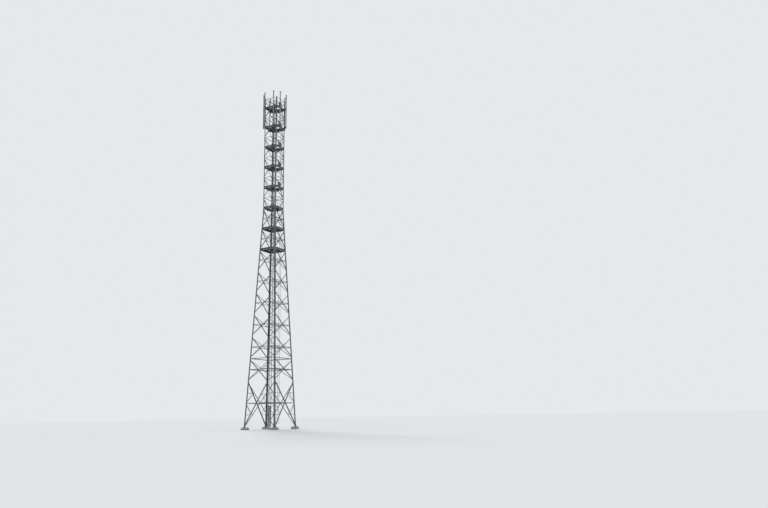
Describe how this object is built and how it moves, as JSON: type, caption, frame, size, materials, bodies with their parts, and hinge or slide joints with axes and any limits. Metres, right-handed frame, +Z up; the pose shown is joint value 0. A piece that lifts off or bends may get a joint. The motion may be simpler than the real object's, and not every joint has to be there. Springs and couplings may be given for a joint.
{
  "type": "radio mast",
  "caption": "Self-supporting square lattice radio mast of angle steel, tapering to a straight upper body with railed platforms, an inner ladder and antenna pipes around the top.",
  "frame": {"origin": "middle of the underside of the front left plinth, on the ground", "axes": "+Z up, +X to the right and -Y to the front, each square to a side of the mast"},
  "size_m": [4.56, 4.56, 39.6],
  "materials": {
    "concrete": "rough cast concrete",
    "galvanised_legs": "weathered hot-dip zinc, dull grey",
    "galvanised_bracing": "weathered hot-dip zinc, dull grey",
    "galvanised_frames": "weathered hot-dip zinc, dull grey",
    "galvanised_grating": "weathered hot-dip zinc grating",
    "galvanised_sheet": "lighter hot-dip zinc sheet",
    "galvanised_ladders": "weathered hot-dip zinc, dull grey",
    "galvanised_pipes": "weathered hot-dip zinc tube"
  },
  "bodies": {
    "root": {"plinth_front_left": "concrete", "plinth_front_right": "concrete", "plinth_back_right": "concrete", "plinth_back_left": "concrete", "lower_leg_front_left": "galvanised_legs", "upper_leg_front_left": "galvanised_legs", "lower_leg_front_right": "galvanised_legs", "upper_leg_front_right": "galvanised_legs", "lower_leg_back_right": "galvanised_legs", "upper_leg_back_right": "galvanised_legs", "lower_leg_back_left": "galvanised_legs", "upper_leg_back_left": "galvanised_legs", "lower_bracing_front": "galvanised_bracing", "upper_bracing_front": "galvanised_bracing", "lower_bracing_right": "galvanised_bracing", "upper_bracing_right": "galvanised_bracing", "lower_bracing_back": "galvanised_bracing", "upper_bracing_back": "galvanised_bracing", "lower_bracing_left": "galvanised_bracing", "upper_bracing_left": "galvanised_bracing", "platform_frame_1": "galvanised_frames", "platform_frame_2": "galvanised_frames", "platform_frame_3": "galvanised_frames", "platform_frame_4": "galvanised_frames", "platform_frame_5": "galvanised_frames", "platform_frame_6": "galvanised_frames", "platform_frame_7": "galvanised_frames", "platform_frame_8": "galvanised_frames", "platform_floors": "galvanised_grating", "hatch_lids": "galvanised_sheet", "ladder_guard": "galvanised_sheet", "lower_ladder": "galvanised_ladders", "upper_ladder": "galvanised_ladders", "ladder_supports": "galvanised_ladders", "cable_ladder": "galvanised_ladders", "top_rail": "galvanised_ladders", "antenna_arms_lower": "galvanised_frames", "antenna_arms_upper": "galvanised_frames", "antenna_pipes_front": "galvanised_pipes", "antenna_pipes_right": "galvanised_pipes", "antenna_pipes_back": "galvanised_pipes", "antenna_pipes_left": "galvanised_pipes"}
  },
  "joints": []
}
